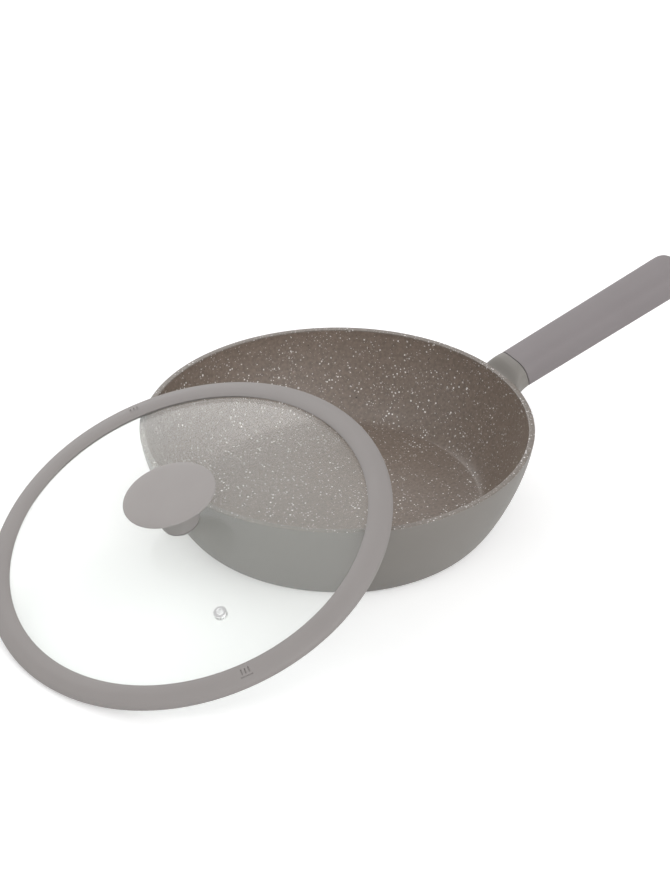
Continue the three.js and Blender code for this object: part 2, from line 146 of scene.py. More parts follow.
def combined(piece, tool, operation, angle=sharp_angle):
    """Joins the tool to the piece or cuts it away, and then removes the tool."""
    change = piece.modifiers.new("combine", "BOOLEAN")
    change.operation = operation
    change.solver = "EXACT"
    change.object = tool
    bpy.context.view_layer.update()
    shaped = bpy.data.meshes.new_from_object(piece.evaluated_get(bpy.context.evaluated_depsgraph_get()))
    piece.modifiers.remove(change)
    old_mesh = piece.data
    shaped.name = old_mesh.name + "_shaped"
    piece.data = shaped
    bpy.data.meshes.remove(old_mesh)
    tool_mesh = tool.data
    bpy.data.objects.remove(tool)
    bpy.data.meshes.remove(tool_mesh)
    shaped.shade_smooth()
    shaped.set_sharp_from_angle(angle=angle)
    return piece


# The walls are two curves. Each pull bends a curve away from one of its ends, outwards and upwards.
outer_low_pull = (6.5, 1.7)
outer_high_pull = (-3.0, -27.4)
inner_high_pull = (-3.1, -26.5)
inner_low_pull = (8.5, 1.2)
outer_wall = cubic(
    (base_radius, 0.0),
    (base_radius + outer_low_pull[0], outer_low_pull[1]),
    (rim_radius + outer_high_pull[0], pan_height + outer_high_pull[1]),
    (rim_radius, pan_height - rim_edge),
    wall_steps,
)
inner_wall = cubic(
    (inner_rim_radius, pan_height - rim_edge),
    (inner_rim_radius + inner_high_pull[0], pan_height + inner_high_pull[1]),
    (inner_foot_radius + inner_low_pull[0], floor_thickness + inner_low_pull[1]),
    (inner_foot_radius, floor_thickness),
    wall_steps,
)
rim_top = rounded([
    (rim_radius, pan_height - rim_edge, 0),
    (rim_radius, pan_height, rim_edge),
    (inner_rim_radius, pan_height, rim_edge),
    (inner_rim_radius, pan_height - rim_edge, 0),
])[1:-1]
recess_radius = plate_radius + seat_gap
recess_depth = plate_thickness + seat_gap
underside = [
    (0.0, recess_depth),
    (recess_radius, recess_depth),
    (recess_radius, 0.0),
    (base_radius - base_flat_inset, 0.0),
]
floor_line = [(inner_foot_radius * share, floor_thickness) for share in (0.8, 0.6, 0.4, 0.2, 0.0)]
rim_starts = len(underside) + len(outer_wall)
inside_starts = rim_starts + len(rim_top)
paint_index = 0
coat_index = 1
rim_index = 2


def pan_finish(index):
    """Which finish covers the bowl from that point of its outline."""
    if index < rim_starts:
        return paint_index
    return rim_index if index < inside_starts else coat_index


bowl_outline = underside + outer_wall + rim_top + inner_wall + floor_line
pan = turned("pan_body_cast", bowl_outline, bowl_sides, pan_finish)

handle_rise = math.radians(17.1)
seam_overhang = 12.0
seam_lift = 0.1
seam_centre = Vector((rim_radius + seam_overhang, 0.0, pan_height + seam_lift)) * millimetre
handle_frame = Matrix.Translation(seam_centre) @ Matrix.Rotation(-handle_rise, 4, "Y")
handle_half_width = 16.7
handle_half_height = 10.9
handle_power = 3.1
tongue_half_width = 10.0
tongue_half_height = 4.5
tongue_power = 6.0
tongue_length = 34.0
tongue_chamfer = 1.0
slide_gap = 0.3
screw_at = 20.0
screw_radius = 2.0
screw_place = Matrix.Translation((screw_at * millimetre, 0.0, 0.0))
section_points = 96
bore_sides = 64
boss_low_share = 0.12


def handle_section(distance, half_width, top, bottom, wider=0.0, power=handle_power):
    """One rounded section of the handle at a distance from its seam. Its upper edge may be wider."""
    ring = []
    for index in range(section_points):
        turn = math.tau * (index + 0.5) / section_points
        across = math.copysign(abs(math.cos(turn)) ** (2 / power), math.cos(turn))
        up = math.copysign(abs(math.sin(turn)) ** (2 / power), math.sin(turn))
        wide = half_width + wider * (boss_low_share + (1 - boss_low_share) / 2 * (1 + up))
        ring.append((distance, wide * across, (top - bottom) / 2 + (top + bottom) / 2 * up))
    return ring


def through(stations, count):
    """Evenly spaced rows on the smooth line that passes through the given rows."""
    rows = np.array(stations, float)
    padded = np.vstack([2 * rows[0] - rows[1], rows, 2 * rows[-1] - rows[-2]])
    line = []
    for place in np.linspace(0.0, len(rows) - 1.0, count):
        first = min(int(place), len(rows) - 2)
        share = place - first
        a, b, c, d = padded[first : first + 4]
        bend = 2 * a - 5 * b + 4 * c - d
        twist = 3 * b - 3 * c + d - a
        line.append(0.5 * (2 * b + (c - a) * share + bend * share**2 + twist * share**3))
    return line


# Along the boss: distance from the seam, then what its upper edge, its top and its bottom add to the grip.
# Its top starts level with the rim, and its upper edge is widest there.
seam_edge = 0.4
boss_steps = [
    (-27.0, 12.0, -3.9, 6.0),
    (-21.0, 11.0, -5.5, 4.0),
    (-16.0, 9.6, -6.9, 2.4),
    (-13.0, 8.2, -7.2, 1.5),
    (-11.5, 7.2, -6.5, 1.1),
    (-10.0, 6.0, -5.2, 0.8),
    (-8.0, 4.4, -3.4, 0.5),
    (-5.5, 2.6, -1.6, 0.2),
    (-2.5, 0.9, -0.4, 0.0),
    (-seam_edge, 0.0, 0.0, 0.0),
]
boss_ring_count = 55
boss_bend_length = 11.5
boss_rings = []
for distance, wider, raised, deeper in through(boss_steps, boss_ring_count):
    top = handle_half_height + raised
    bottom = handle_half_height + deeper
    # Towards the pan each section bends round with the rim
    bend = min(1.0, -distance / boss_bend_length)
    ring = []
    for x, y, z in handle_section(distance, handle_half_width, top, bottom, wider):
        ring.append((x - bend * (rim_radius - math.sqrt(rim_radius**2 - y**2)), y, z))
    boss_rings.append(ring)
for inset in (0.15, seam_edge):
    tall = handle_half_height - inset
    boss_rings.append(handle_section(inset - seam_edge, handle_half_width - inset, tall, tall))
tongue_steps = [(0.0, 0.0), (tongue_length - tongue_chamfer, 0.0), (tongue_length, tongue_chamfer)]
for distance, inset in tongue_steps:
    tall = tongue_half_height - inset
    boss_rings.append(handle_section(distance, tongue_half_width - inset, tall, tall, power=tongue_power))
boss = lofted("boss", boss_rings)


def bar(name, radius, low, high):
    """A plain round tool for cutting holes, along Z."""
    return turned(name, [(0.0, low), (radius, low), (radius, high), (0.0, high)], bore_sides)


tongue_bore = bar("tongue_bore", screw_radius + slide_gap, -handle_half_height, handle_half_height)
tongue_bore.data.transform(screw_place)
boss = combined(boss, tongue_bore, "DIFFERENCE")
boss.data.transform(handle_frame)
# The part of the boss inside the bowl is cut away before the two are joined
core_inset = 2.2
core_low = -1.0
core_high = pan_height + 3 * handle_half_height
core_outline = [(0.0, core_low), (base_radius - core_inset, core_low)]
core_outline += [(radius - core_inset, height) for radius, height in outer_wall]
core_outline += [(rim_radius - core_inset, core_high), (0.0, core_high)]
boss = combined(boss, turned("core", core_outline, bowl_sides), "DIFFERENCE")
pan = combined(pan, boss, "UNION")


def linear(red, green, blue):
    """A colour as it is seen, from 0 to 255, as the shader wants it."""
    shares = [value / 255 for value in (red, green, blue)]
    return [((s + 0.055) / 1.055) ** 2.4 if s > 0.04 else s / 12.92 for s in shares] + [1.0]


def new_finish(name, colour, roughness, **sockets):
    """A material with one shader. Returns the material, its node tree and the shader."""
    finish = bpy.data.materials.new(name)
    finish.use_nodes = True
    tree = finish.node_tree
    shader = tree.nodes["Principled BSDF"]
    shader.inputs["Base Color"].default_value = colour
    shader.inputs["Roughness"].default_value = roughness
    for socket, value in sockets.items():
        shader.inputs[socket.replace("_", " ")].default_value = value
    return finish, tree, shader


def added(tree, kind, links=(), **settings):
    """A node with its settings, fed by (input name or number, output socket or value) pairs."""
    node = tree.nodes.new(kind)
    for setting, value in settings.items():
        setattr(node, setting, value)
    for socket, source in links:
        if isinstance(source, bpy.types.NodeSocket):
            tree.links.new(source, node.inputs[socket])
        else:
            node.inputs[socket].default_value = source
    return node


def worked(tree, operation, first, second):
    """One value worked out from two."""
    return added(tree, "ShaderNodeMath", [(0, first), (1, second)], operation=operation).outputs[0]


def vector(tree, operation, first, second):
    """One vector worked out from two."""
    return added(tree, "ShaderNodeVectorMath", [(0, first), (1, second)], operation=operation).outputs[0]


def place_of(tree):
    """The piece's own coordinates, in metres."""
    return added(tree, "ShaderNodeTexCoord").outputs["Object"]


def cloudy(tree, place, waves, detail):
    """Soft noise of that many waves a metre."""
    return added(tree, "ShaderNodeTexNoise", [("Vector", place), ("Scale", waves), ("Detail", detail)])


def raised_by(tree, shader, source, height):
    """Lets the shader see the source as a relief of that height in metres."""
    bump = added(tree, "ShaderNodeBump", [("Height", source), ("Distance", height), ("Strength", 1.0)])
    tree.links.new(bump.outputs["Normal"], shader.inputs["Normal"])


def grain(tree, shader, waves, height):
    """A fine raised grain of that many waves a metre and that height in metres."""
    noise = cloudy(tree, place_of(tree), waves, 4.0)
    raised_by(tree, shader, noise.outputs["Fac"], height)


def spread(tree, source, low, high, to_low, to_high, smooth=False):
    """Maps one range of values to another and holds its ends."""
    kind = "SMOOTHSTEP" if smooth else "LINEAR"
    ends = [("From Min", low), ("From Max", high), ("To Min", to_low), ("To Max", to_high)]
    node = added(tree, "ShaderNodeMapRange", [("Value", source)] + ends, interpolation_type=kind)
    return node.outputs["Result"]


def mixed(tree, share, first, second):
    """One colour turning into another with the share."""
    node = added(tree, "ShaderNodeMix", data_type="RGBA")
    for socket, source in ((0, share), (6, first), (7, second)):
        if isinstance(source, bpy.types.NodeSocket):
            tree.links.new(source, node.inputs[socket])
        else:
            node.inputs[socket].default_value = source
    return node.outputs[2]


def mottled(tree, shader, colour, patches, amount):
    """Lets the colour drift a little lighter and darker over patches of that many a metre."""
    noise = cloudy(tree, place_of(tree), patches, 3.0)
    share = spread(tree, noise.outputs["Fac"], 0.3, 0.7, 0.0, 1.0)
    darker = [value * (1 - amount) for value in colour[:3]] + [1.0]
    lighter = [value * (1 + amount) for value in colour[:3]] + [1.0]
    result = mixed(tree, share, darker, lighter)
    tree.links.new(result, shader.inputs["Base Color"])
    return result


def flecks(tree, cells, least, most, offset):
    """A mask of irregular flecks, one in each of so many cells a metre, and a random share for each."""
    wobble_reach = 0.35 / cells
    crowd_scale = 70.0
    thin_share = 0.55
    soft_edge = 0.06
    place = place_of(tree)
    moved = vector(tree, "ADD", place, offset)
    wobble = cloudy(tree, place, cells * 2.5, 2.0)
    push = vector(tree, "MULTIPLY", wobble.outputs["Color"], (wobble_reach,) * 3)
    bent = vector(tree, "ADD", moved, push)
    cell = added(tree, "ShaderNodeTexVoronoi", [("Vector", bent), ("Scale", cells)])
    shares = added(tree, "ShaderNodeSeparateColor", [("Color", cell.outputs["Color"])])
    crowd = cloudy(tree, moved, crowd_scale, 1.0)
    reach = spread(tree, crowd.outputs["Fac"], 0.35, 0.65, thin_share * most, most)
    radius = spread(tree, shares.outputs[0], least, 1.0, 0.0, reach)
    depth = worked(tree, "SUBTRACT", radius, cell.outputs["Distance"])
    return spread(tree, depth, 0.0, soft_edge, 0.0, 1.0, smooth=True), shares.outputs[1]


paint_colour = linear(135, 131, 126)
pan_paint, tree, shader = new_finish("pan_paint", paint_colour, 0.48, Specular_IOR_Level=0.35)
mottled(tree, shader, paint_colour, patches=22.0, amount=0.025)
grain(tree, shader, waves=2600.0, height=0.000012)
large_fleck_colour = linear(246, 243, 240)
small_fleck_colour = linear(232, 226, 220)
dark_fleck_colour = linear(58, 48, 42)


def stone_coat(name, colour, fleck_level, least):
    """The non-stick coat: a warm ground with pale flecks of two sizes and a few dark ones."""
    small_level = 0.8
    coat, tree, shader = new_finish(name, colour, 0.33, Specular_IOR_Level=0.55)
    ground = mottled(tree, shader, colour, patches=420.0, amount=0.17)
    large, large_share = flecks(tree, cells=470.0, least=least, most=0.40, offset=(0.0, 0.0, 0.0))
    small, small_share = flecks(tree, cells=760.0, least=0.20, most=0.40, offset=(0.31, 0.17, 0.05))
    dark = flecks(tree, cells=330.0, least=0.78, most=0.22, offset=(0.11, 0.43, 0.29))[0]
    small_strength = worked(tree, "MULTIPLY", worked(tree, "MULTIPLY", small, small_share), small_level)
    bright = spread(tree, large_share, 0.0, 0.7, 0.5 * fleck_level, fleck_level)
    large_strength = worked(tree, "MULTIPLY", large, bright)
    result = mixed(tree, small_strength, ground, small_fleck_colour)
    result = mixed(tree, large_strength, result, large_fleck_colour)
    result = mixed(tree, dark, result, dark_fleck_colour)
    tree.links.new(result, shader.inputs["Base Color"])
    grain(tree, shader, waves=1100.0, height=0.00002)
    return coat


pan_coat = stone_coat("pan_coat", linear(126, 113, 103), fleck_level=0.95, least=0.15)
rim_coat = stone_coat("rim_coat", linear(127, 119, 112), fleck_level=0.8, least=-0.5)
for finish in (pan_paint, pan_coat, rim_coat):
    pan.data.materials.append(finish)
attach(pan, "pan")
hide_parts("pan_body")

# Induction plate: a disc of magnetic steel pressed into the underside of the base.
# Shallow rings are turned into it, and the turning leaves fine round lines.
plate_edge = 0.3
plate_sides = 160
groove_count = 3
groove_depth = 0.4
groove_half_width = 2.0
groove_floor_half_width = 1.6
groove_edge = 0.15
groove_step = plate_radius / (groove_count + 1)
groove_line = [
    (-groove_half_width, 0.0),
    (-groove_floor_half_width, groove_depth),
    (groove_floor_half_width, groove_depth),
    (groove_half_width, 0.0),
]
plate_corners = [(0.0, 0.0, 0)]
for groove in range(1, groove_count + 1):
    for offset, height in groove_line:
        plate_corners.append((groove_step * groove + offset, height, groove_edge))
plate_corners += [
    (plate_radius, 0.0, plate_edge),
    (plate_radius, plate_thickness, plate_edge),
    (0.0, plate_thickness, 0),
]
plate = turned("induction_plate_steel", rounded(plate_corners, steps=3), plate_sides)


def turned_lines(tree, shader, lines, height):
    """Fine lines round the piece's own axis, as a lathe tool leaves them."""
    place = added(tree, "ShaderNodeSeparateXYZ", [("Vector", place_of(tree))])
    sides = [("X", place.outputs["X"]), ("Y", place.outputs["Y"]), ("Z", 0.0)]
    flat = added(tree, "ShaderNodeCombineXYZ", sides)
    radius = added(tree, "ShaderNodeVectorMath", [(0, flat.outputs[0])], operation="LENGTH")
    waves = [("W", radius.outputs["Value"]), ("Scale", lines), ("Detail", 3.0)]
    noise = added(tree, "ShaderNodeTexNoise", waves, noise_dimensions="1D")
    raised_by(tree, shader, noise.outputs["Fac"], height)
    rough = spread(tree, noise.outputs["Fac"], 0.3, 0.7, 0.28, 0.42)
    tree.links.new(rough, shader.inputs["Roughness"])


plate_steel, tree, shader = new_finish("plate_steel", linear(190, 190, 192), 0.35, Metallic=1.0)
turned_lines(tree, shader, lines=1400.0, height=0.00003)
plate.data.materials.append(plate_steel)
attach(plate, "pan")
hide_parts("induction_plate")

# Handle grip: a straight bar of moulded plastic with a soft-touch skin, a rounded flat oval in section.
# It is pushed over the tongue of the boss and held by one screw from below.
seam_gap = 0.4
grip_length = 154.5
grip_growth = 0.07
grip_end_round = 13.0
grip_end_power = 2.8
grip_end_least = 0.06
grip_body_start = 2.0
grip_body_rings = 24
grip_end_rings = 21
washer_radius = 4.3
washer_thickness = 0.8
head_radius = 4.0
head_height = 2.0
head_pocket_depth = head_height + washer_thickness + 2 * seat_gap
head_seat = -handle_half_height + head_pocket_depth
grip_rings = []
for distance in (tongue_length + slide_gap, seam_gap):
    wide = tongue_half_width + slide_gap
    tall = tongue_half_height + slide_gap
    grip_rings.append(handle_section(distance, wide, tall, tall, power=tongue_power))
# The edge at the seam is rolled off: distance from the face, and how far it is still drawn in there
for along, inset in ((0.0, 0.55), (0.06, 0.27), (0.22, 0.08), (0.5, 0.0)):
    tall = handle_half_height - inset
    grip_rings.append(handle_section(seam_gap + along, handle_half_width - inset, tall, tall))
straight = grip_length - grip_end_round
for distance in np.linspace(grip_body_start, straight, grip_body_rings):
    grow = 1 + grip_growth * distance / grip_length
    tall = handle_half_height * grow
    grip_rings.append(handle_section(seam_gap + distance, handle_half_width * grow, tall, tall))
end_grow = 1 + grip_growth * straight / grip_length
for share in np.sin(np.linspace(0.0, math.pi / 2, grip_end_rings + 1)[1:]):
    shrink = (1 - share**grip_end_power) ** (1 / grip_end_power)
    shrink = max(shrink, grip_end_least) * end_grow
    tall = handle_half_height * shrink
    along = seam_gap + straight + grip_end_round * share
    grip_rings.append(handle_section(along, handle_half_width * shrink, tall, tall))
grip = lofted("handle_grip_moulding", grip_rings)

pocket_radius = washer_radius + slide_gap
bore_radius = screw_radius + slide_gap
pocket_low = -2 * handle_half_height
pocket_outline = [(0.0, pocket_low), (pocket_radius, pocket_low), (pocket_radius, head_seat)]
pocket_outline += [(bore_radius, head_seat), (bore_radius, 0.0), (0.0, 0.0)]
pocket = turned("pocket", pocket_outline, bore_sides)
pocket.data.transform(screw_place)
grip = combined(grip, pocket, "DIFFERENCE")
grip.data.transform(handle_frame)
grip_colour = linear(139, 133, 134)
grip_skin, tree, shader = new_finish("grip_skin", grip_colour, 0.6, Specular_IOR_Level=0.3)
mottled(tree, shader, grip_colour, patches=30.0, amount=0.02)
grain(tree, shader, waves=3200.0, height=0.00002)
grip.data.materials.append(grip_skin)
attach(grip, "pan")
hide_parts("handle_grip")

# Handle screw: a plated steel cross-head screw. It goes in from below, through the grip and the tongue,
# and its head sits deep in the grip's pocket.
washer_top = head_seat - seat_gap
washer_low = washer_top - washer_thickness
head_top = washer_low - seat_gap
head_place = Vector((screw_at, 0.0, head_top)) * millimetre
screw_sides = 48
slot_sharp_angle = math.radians(30.0)


def cross_head_screw(name, radius, length, head, height):
    """A screw along Z with its head below zero, a domed edge and a cross recess."""
    point_taper = 0.6
    slot_half_length = head * 1.1 / 2
    slot_half_width = head * 0.24 / 2
    screw = turned(name, rounded([
        (0.0, -height, 0),
        (head, -height, height * 0.6),
        (head, 0.0, 0.15),
        (radius, 0.0, 0.1),
        (radius, length - point_taper, 0.3),
        (radius - point_taper, length, 0.1),
        (0.0, length, 0),
    ]), screw_sides)
    for long, wide in ((slot_half_length, slot_half_width), (slot_half_width, slot_half_length)):
        ring = [(-long, -wide), (long, -wide), (long, wide), (-long, wide)]
        slot = lofted("slot", [[(x, y, z) for x, y in ring] for z in (-height * 1.5, -height * 0.5)])
        screw = combined(screw, slot, "DIFFERENCE", slot_sharp_angle)
    return screw


fixing_steel, tree, shader = new_finish("fixing_steel", linear(196, 196, 198), 0.3, Metallic=1.0)
turned_lines(tree, shader, lines=3500.0, height=0.00001)
handle_screw = cross_head_screw(
    "handle_screw_steel",
    screw_radius,
    tongue_half_height - seat_gap - head_top,
    head_radius,
    head_height,
)
handle_screw.matrix_world = handle_frame @ Matrix.Translation(head_place)
handle_screw.data.materials.append(fixing_steel)
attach(handle_screw, "pan")
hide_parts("handle_screw")

# Handle washer: a plated steel washer between the screw's head and the floor of its pocket,
# which keeps the head from sinking into the plastic.
washer_sides = 64


def washer(name, bore, radius, low, high):
    """A flat washer with softly rolled edges."""
    edge = (high - low) * 0.3
    return turned(name, rounded([
        (bore, low, edge),
        (radius, low, edge),
        (radius, high, edge),
        (bore, high, edge),
    ]), washer_sides)


handle_washer = washer(
    "handle_washer_steel",
    bore_radius,
    washer_radius,
    washer_low,
    washer_top,
)
handle_washer.matrix_world = handle_frame @ screw_place
handle_washer.data.materials.append(fixing_steel)
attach(handle_washer, "pan")
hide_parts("handle_washer")

# Lid glass: a shallow dome of clear tempered glass with a faint green cast, bored for knob and vent.
# The lid's own frame stands on the foot of its ring, and leans so that the glass comes down on the rim.
lid_turn = math.radians(-164.76)
lid_tilt = math.radians(20.40914)
lid_foot = Vector((-145.0799, -51.1344, 48.4374)) * millimetre
lid_lean = Matrix.Rotation(lid_turn, 4, "Z") @ Matrix.Rotation(lid_tilt, 4, "Y")
lid_frame = Matrix.Translation(lid_foot) @ lid_lean
glass_radius = 132.0
glass_thickness = 4.0
glass_edge_inset = 1.2
glass_edge_round = 1.0
glass_stations = 46
glass_sides = 224
dome_rise = 15.0
dome_height = 15.9
dome_radius = (glass_radius**2 + dome_rise**2) / (2 * dome_rise)
dome_centre = Vector((0.0, 0.0, (dome_height - dome_radius) * millimetre))
lid_screw_radius = 2.0
knob_hole_radius = lid_screw_radius + 2 * slide_gap
vent_from_axis = 83.5
vent_turn = math.radians(62.3)
vent_tube_radius = 3.2


def glass_under(radius):
    """Height of the glass's lower face at a radius."""
    return dome_height - dome_radius + math.sqrt(dome_radius**2 - radius**2)


def glass_over(radius):
    """Height of the glass's upper face at a radius."""
    return dome_height - dome_radius + math.sqrt((dome_radius + glass_thickness) ** 2 - radius**2)


face_radius = glass_radius - glass_edge_inset
stations = np.linspace(knob_hole_radius, face_radius, glass_stations)
glass_edge = rounded([
    (face_radius, glass_under(face_radius), 0),
    (glass_radius, glass_under(glass_radius), glass_edge_round),
    (glass_radius, glass_over(glass_radius), glass_edge_round),
    (face_radius, glass_over(face_radius), 0),
])[1:-1]
glass_outline = [(radius, glass_under(radius)) for radius in stations] + glass_edge
glass_outline += [(radius, glass_over(radius)) for radius in stations[::-1]]
glass = turned("lid_glass_dome", glass_outline, glass_sides)
vent_tilt = math.asin(vent_from_axis / (dome_radius + glass_thickness))
vent_frame = Matrix.Rotation(vent_turn, 4, "Z") @ Matrix.Translation(dome_centre)
vent_frame = vent_frame @ Matrix.Rotation(vent_tilt, 4, "Y")
vent_frame = vent_frame @ Matrix.Translation((0.0, 0.0, dome_radius * millimetre))
vent_hole = bar("vent_hole", vent_tube_radius + slide_gap, -glass_thickness, 2 * glass_thickness)
vent_hole.data.transform(vent_frame)
glass = combined(glass, vent_hole, "DIFFERENCE")
# The two faces get the exact normals of their spheres, so that the view through them isn't bent at the hole
face_share = 0.97
corner_normals = [Vector(corner.vector) for corner in glass.data.corner_normals]
for face in glass.data.polygons:
    for corner in face.loop_indices:
        point = glass.data.vertices[glass.data.loops[corner].vertex_index].co
        outward = (point - dome_centre).normalized()
        facing = outward.dot(face.normal)
        if abs(facing) > face_share:
            corner_normals[corner] = outward * math.copysign(1.0, facing)
glass.data.normals_split_custom_set(corner_normals)
glass.data.transform(lid_frame)
# About a twentieth of the glass is a dull white share, a painted veil of reflection over what shows through
# it, and its mirroring is toned down. The faint green of the glass is its own.
lid_glass_painted_veil, tree, shader = new_finish(
    "lid_glass_painted_veil",
    [0.984, 0.991, 0.98, 1.0],
    0.0,
    IOR=1.5,
    Transmission_Weight=0.942,
    Specular_Tint=(0.42, 0.42, 0.42, 1.0),
)
# Light on its way to the floor or to a dull surface passes straight through, so the floor stays white there
passing_tint = (0.95, 0.97, 0.96, 1.0)
path = added(tree, "ShaderNodeLightPath")
passing = worked(tree, "MAXIMUM", path.outputs["Is Shadow Ray"], path.outputs["Is Diffuse Ray"])
clear = added(tree, "ShaderNodeBsdfTransparent", [("Color", passing_tint)])
ways = [(0, passing), (1, shader.outputs[0]), (2, clear.outputs[0])]
either = added(tree, "ShaderNodeMixShader", ways)
tree.links.new(either.outputs[0], tree.nodes["Material Output"].inputs["Surface"])
glass.data.materials.append(lid_glass_painted_veil)
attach(glass, "lid")
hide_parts("lid_glass")

# Lid ring: a wide ring of taupe silicone moulded round the edge of the glass, with a softly domed top.
# Its flat foot covers the pan's rim, and a low skirt inside the foot centres it. Short plain strokes
# are moulded into it at two places in line with the vent.
ring_overhang = 1.2
ring_foot_inset = 1.1
ring_lip_cover = 6.9
ring_widest = rim_radius + ring_overhang
ring_foot_radius = rim_radius - ring_foot_inset
ring_lip_radius = glass_radius - ring_lip_cover
ring_span = ring_widest - ring_lip_radius
ring_top = 8.9
ring_edge = 0.5
ring_sides = 256
ring_skirt = 0.7
skirt_lead = 1.6
skirt_radius = inner_rim_radius - 3 * slide_gap
groove_hold = 3.4
groove_radius = glass_radius + slide_gap
inner_lip_radius = groove_radius - groove_hold
lip_gap = 0.5
lip_thickness = 0.4
lip_lead = 1.5
lip_low = glass_over(ring_lip_radius) + lip_gap
crown_start = (ring_widest - 0.7, ring_top * 0.15)
crown_end = (ring_lip_radius, lip_low + lip_thickness)
ring_under = rounded([
    (inner_lip_radius, glass_under(inner_lip_radius) - seat_gap, 0),
    (inner_lip_radius, -ring_skirt, ring_edge),
    (skirt_radius - skirt_lead, -ring_skirt, 0.3),
    (skirt_radius, 0.0, ring_edge),
    (ring_foot_radius, 0.0, ring_edge),
    (*crown_start, 0),
])[1:-1]
ring_crown = through([
    crown_start,
    (ring_widest, ring_top * 0.38),
    (ring_widest - 0.5, ring_top * 0.56),
    (ring_widest - 2.0, ring_top * 0.72),
    (ring_widest - ring_span * 0.36, ring_top * 0.89),
    (ring_widest - ring_span * 0.52, ring_top * 0.965),
    (ring_widest - ring_span * 0.68, ring_top * 0.98),
    (ring_lip_radius + 3.0, ring_top - 0.35),
    (ring_lip_radius + 1.5, ring_top - 0.7),
    (ring_lip_radius + 0.5, ring_top - 1.1),
    crown_end,
], count=64)
ring_lip = rounded([
    (*crown_end, 0),
    (ring_lip_radius, lip_low, 0.12),
    (ring_lip_radius + lip_lead, glass_over(ring_lip_radius + lip_lead) + seat_gap, 0),
    (groove_radius, glass_over(groove_radius) + seat_gap, 0),
    (groove_radius, glass_under(groove_radius) - seat_gap, 0),
    (inner_lip_radius, glass_under(inner_lip_radius) - seat_gap, 0),
])[1:]
ring_outline = ring_under + [tuple(point) for point in ring_crown] + ring_lip
ring = turned("lid_rim_silicone", ring_outline, ring_sides)
stroke_depth = 0.5
stroke_clearance = 2.0
stroke_half_width = 0.42
stroke_end_points = 7
stroke_half_length = 1.8
stroke_step = 2.5
stroke_radius = 132.4
bar_radius = 136.2
bar_half_length = 3.8
crown_radii = [point[0] for point in ring_crown][::-1]
crown_heights = [point[1] for point in ring_crown][::-1]


def stroke(radius, sideways, half_length, along_ring):
    """A tool for cutting one short bar with round ends. It follows the slope of the ring's crown."""
    rings = []
    for height in (-stroke_depth, stroke_clearance):
        outline = []
        for end in (1, -1):
            for turn in np.linspace(-math.pi / 2, math.pi / 2, stroke_end_points):
                out = end * (half_length + stroke_half_width * math.cos(turn))
                across = end * stroke_half_width * math.sin(turn)
                if along_ring:
                    x, y = radius - across, sideways + out
                else:
                    x, y = radius + out, sideways + across
                outline.append((x, y, np.interp(x, crown_radii, crown_heights) + height))
        rings.append(outline)
    return lofted("stroke", rings)


for turn, with_bar in ((vent_turn, True), (vent_turn + math.pi, False)):
    tools = []
    for step in (-1, 0, 1):
        tools.append(stroke(stroke_radius, stroke_step * step, stroke_half_length, False))
    if with_bar:
        tools.append(stroke(bar_radius, 0.0, bar_half_length, True))
    for tool in tools:
        tool.data.transform(Matrix.Rotation(turn, 4, "Z"))
        ring = combined(ring, tool, "DIFFERENCE")
ring.data.transform(lid_frame)
ring_colour = linear(150, 145, 143)
ring_silicone, tree, shader = new_finish("ring_silicone", ring_colour, 0.55, Specular_IOR_Level=0.35)
mottled(tree, shader, ring_colour, patches=25.0, amount=0.02)
grain(tree, shader, waves=2400.0, height=0.00002)
ring.data.materials.append(ring_silicone)
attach(ring, "lid")
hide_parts("lid_rim")

# Vent eyelet: a small tube of polished steel through the glass, rolled out to a flange on each face.
# Steam leaves through its bore.
vent_bore = 2.3
vent_flange = 4.4
vent_flange_thickness = 0.7
vent_sides = 64
vent_low = -seat_gap - vent_flange_thickness
vent_high = glass_thickness + seat_gap + vent_flange_thickness
vent = turned("vent_eyelet_steel", rounded([
    (vent_bore, vent_low, 0.35),
    (vent_flange, vent_low, 0.3),
    (vent_flange, -seat_gap, 0.1),
    (vent_tube_radius, -seat_gap, 0),
    (vent_tube_radius, glass_thickness + seat_gap, 0),
    (vent_flange, glass_thickness + seat_gap, 0.1),
    (vent_flange, vent_high, 0.35),
    (vent_bore, vent_high, 0.5),
]), vent_sides)
vent.matrix_world = lid_frame @ vent_frame
vent_steel, tree, shader = new_finish("vent_steel", linear(244, 244, 244), 0.1, Metallic=1.0)
turned_lines(tree, shader, lines=5000.0, height=0.000004)
vent.data.materials.append(vent_steel)
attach(vent, "lid")
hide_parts("vent_eyelet")

# Knob: a mushroom of moulded plastic with a soft-touch skin, a slightly oval disc on a neck that widens
# into it. It stands on a silicone washer on the glass and is drawn down by a screw in its bore.
knob_neck = 13.4
knob_disc = 30.05
knob_oval = 0.065
knob_turn = math.radians(140.0)
knob_height = 28.0
knob_edge = 1.8
knob_edge_drop = 1.2
knob_edge_round = 0.6
knob_shoulder_drop = 1.9
knob_under_inset = 1.2
knob_dome = 0.9
knob_roll = 1.0
knob_crown_share = 0.97
knob_sides = 128
gasket_thickness = 1.0
gasket_top_high = glass_over(0.0) + seat_gap + gasket_thickness
knob_low = gasket_top_high + seat_gap
knob_top = knob_low + knob_height
insert_radius = 3.6
insert_length = 12.0
knob_bore = insert_radius + slide_gap
knob_bore_top = knob_low + insert_length + 2 * seat_gap
knob_flare = knob_disc - knob_neck
disc_low = knob_top - knob_edge_drop - knob_edge
neck_height = disc_low - knob_low
neck_start = (knob_neck, knob_low + neck_height * 0.12)
neck_end = (knob_disc - knob_under_inset, disc_low)


def knob_crown_point(share):
    """A point of the knob's slightly domed top at a share of its radius. It rolls off at the edge."""
    return (knob_disc * share, knob_top - knob_dome * share**2 - knob_roll * share**8)


